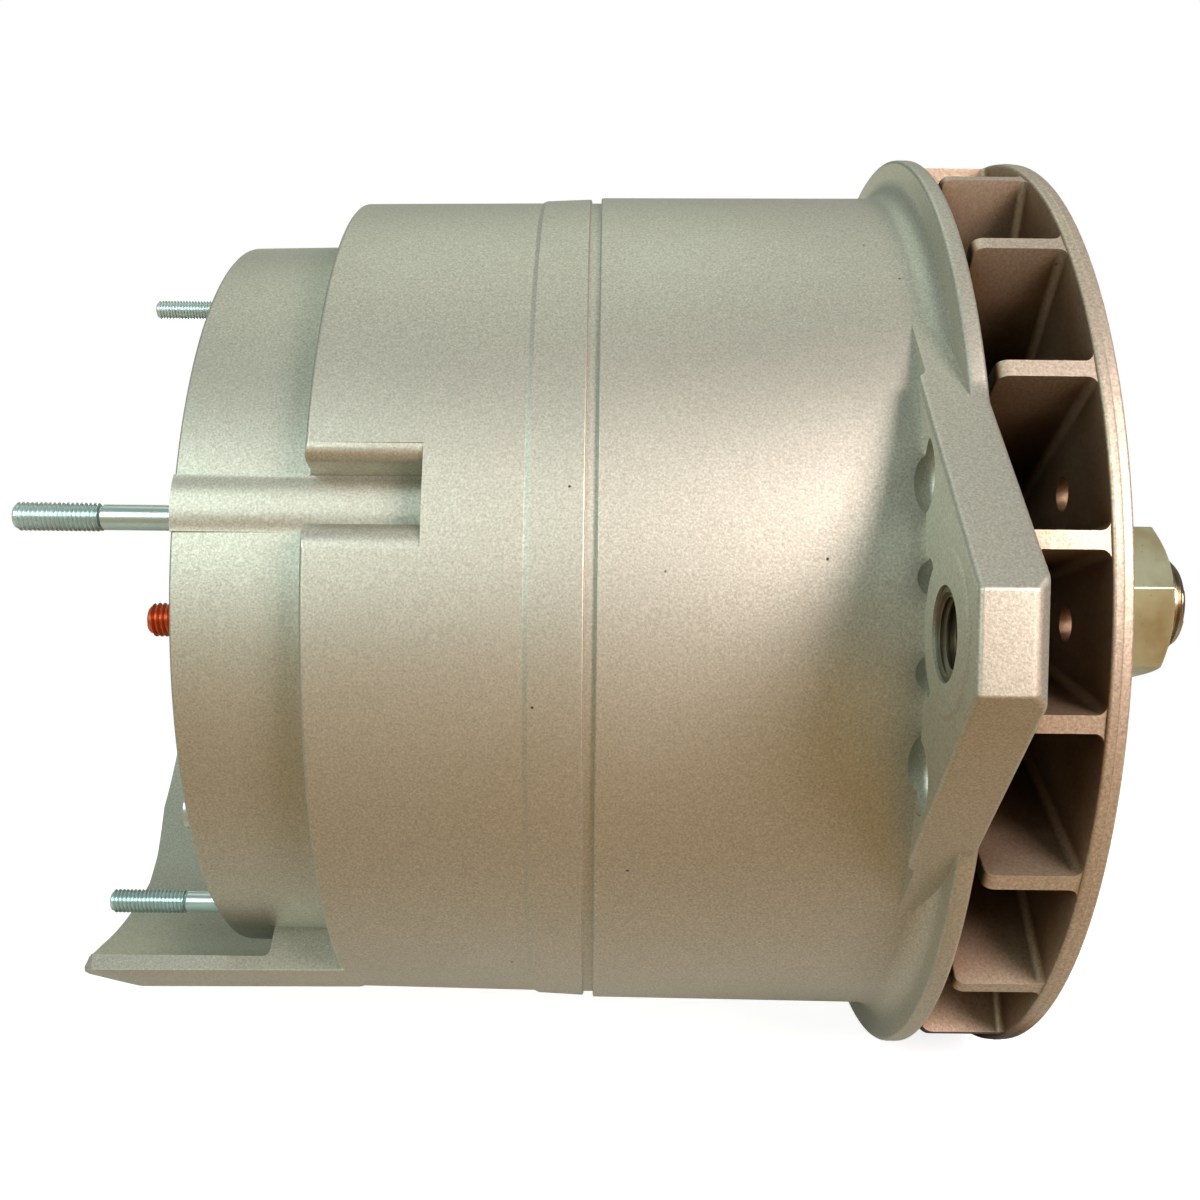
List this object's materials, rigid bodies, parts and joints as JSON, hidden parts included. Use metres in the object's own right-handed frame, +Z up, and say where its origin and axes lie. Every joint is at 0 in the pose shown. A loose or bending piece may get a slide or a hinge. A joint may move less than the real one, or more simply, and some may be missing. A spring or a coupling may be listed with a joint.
{
  "type": "alternator",
  "caption": "Heavy-duty belt-driven alternator: cast two-piece housing with tension lug and pivot feet, external radial fan, claw-pole rotor, brushes and threaded terminals.",
  "frame": {"origin": "on the shaft axis, at the plane where a pulley's hub meets the fan", "axes": "+X along the shaft towards the drive end, -Y towards the tensioning lug, +Z up"},
  "size_m": [0.3095, 0.278, 0.217],
  "materials": {
    "cast_aluminium": "bead-blasted casting, matt",
    "fan_aluminium": "sand casting, matt",
    "plated_nut": "yellow-passivated zinc plate",
    "cover_steel": "dark satin coat",
    "zinc_steel": "bright zinc plate",
    "copper": "bare copper, slightly dulled",
    "dark_steel": "oiled machined steel",
    "shaft_steel": "machined steel",
    "spring_steel": "drawn wire",
    "laminated_steel": "stacked sheet edges",
    "enamelled_copper": "varnished wire",
    "bearing_steel": "ground and polished",
    "cage_plastic": "moulded",
    "seal_rubber": "moulded",
    "moulded_plastic": "glass-filled, satin",
    "bobbin_plastic": "moulded",
    "regulator_plastic": "moulded, satin",
    "heat_sink_aluminium": "rolled plate",
    "nickel_plate": "nickel-plated",
    "forged_iron": "varnished forging",
    "carbon": "pressed carbon"
  },
  "bodies": {
    "housing": {"drive_end_housing": "cast_aluminium", "slip_ring_end_housing": "cast_aluminium", "rear_cover": "cover_steel", "cover_screws": "zinc_steel", "housing_screws": "zinc_steel", "lug_thread_insert": "dark_steel", "front_foot_bush": "dark_steel", "rear_foot_bush": "dark_steel", "stator_core": "laminated_steel", "stator_winding": "enamelled_copper", "front_bearing_outer_ring": "bearing_steel", "rear_bearing_outer_ring": "bearing_steel", "bearing_retainer": "dark_steel", "retainer_screws": "zinc_steel", "shaft_seal": "seal_rubber", "brush_holder": "moulded_plastic", "brush_holder_screws": "zinc_steel", "front_brush_spring": "spring_steel", "rear_brush_spring": "spring_steel", "regulator": "regulator_plastic", "regulator_screws": "zinc_steel", "positive_heat_sink": "heat_sink_aluminium", "negative_heat_sink": "heat_sink_aluminium", "positive_diodes": "nickel_plate", "negative_diodes": "nickel_plate", "heat_sink_spacers": "moulded_plastic", "heat_sink_screws": "zinc_steel", "output_stud": "copper", "terminal_stud": "zinc_steel", "lower_stud": "zinc_steel", "upper_stud": "zinc_steel", "terminal_bushes": "moulded_plastic"},
    "rotor": {"shaft": "shaft_steel", "fan": "fan_aluminium", "fan_key": "dark_steel", "spacer_ring": "shaft_steel", "front_bearing_inner_ring": "bearing_steel", "rear_bearing_inner_ring": "bearing_steel", "pole_core": "forged_iron", "drive_end_claw_pole": "forged_iron", "slip_ring_end_claw_pole": "forged_iron", "coil_bobbin": "bobbin_plastic", "field_coil": "enamelled_copper", "slip_ring_insulator": "moulded_plastic", "slip_rings": "copper"},
    "front_ball_set": {"front_bearing_balls": "bearing_steel", "front_bearing_cage": "cage_plastic"},
    "rear_roller_set": {"rear_bearing_rollers": "bearing_steel", "rear_bearing_cage": "cage_plastic"},
    "nut": {"shaft_nut": "plated_nut", "spring_washer": "plated_nut"},
    "front_brush": {"front_brush": "carbon"},
    "rear_brush": {"rear_brush": "carbon"}
  },
  "joints": [
    {"name": "rotor_spin", "type": "hinge", "parent": "housing", "child": "rotor", "pos_m": [0, 0, 0], "axis": [1, 0, 0], "continuous": true},
    {"name": "ball_set_spin", "type": "hinge", "parent": "housing", "child": "front_ball_set", "pos_m": [0, 0, 0], "axis": [1, 0, 0], "continuous": true},
    {"name": "roller_set_spin", "type": "hinge", "parent": "housing", "child": "rear_roller_set", "pos_m": [0, 0, 0], "axis": [1, 0, 0], "continuous": true},
    {"name": "nut_slide", "type": "slide", "parent": "rotor", "child": "nut", "axis": [1, 0, 0], "range_m": [0, 0.12]},
    {"name": "front_brush_slide", "type": "slide", "parent": "housing", "child": "front_brush", "axis": [0, 0, 1], "range_m": [0, 0.008], "stiffness_N_per_m": 300, "springref_m": -0.012, "deforming": ["front_brush_spring"]},
    {"name": "rear_brush_slide", "type": "slide", "parent": "housing", "child": "rear_brush", "axis": [0, 0, 1], "range_m": [0, 0.008], "stiffness_N_per_m": 300, "springref_m": -0.012, "deforming": ["rear_brush_spring"]}
  ],
  "couplings": [
    {"joint": "ball_set_spin", "follows": "rotor_spin", "ratio": 0.3794},
    {"joint": "roller_set_spin", "follows": "rotor_spin", "ratio": 0.3911}
  ]
}
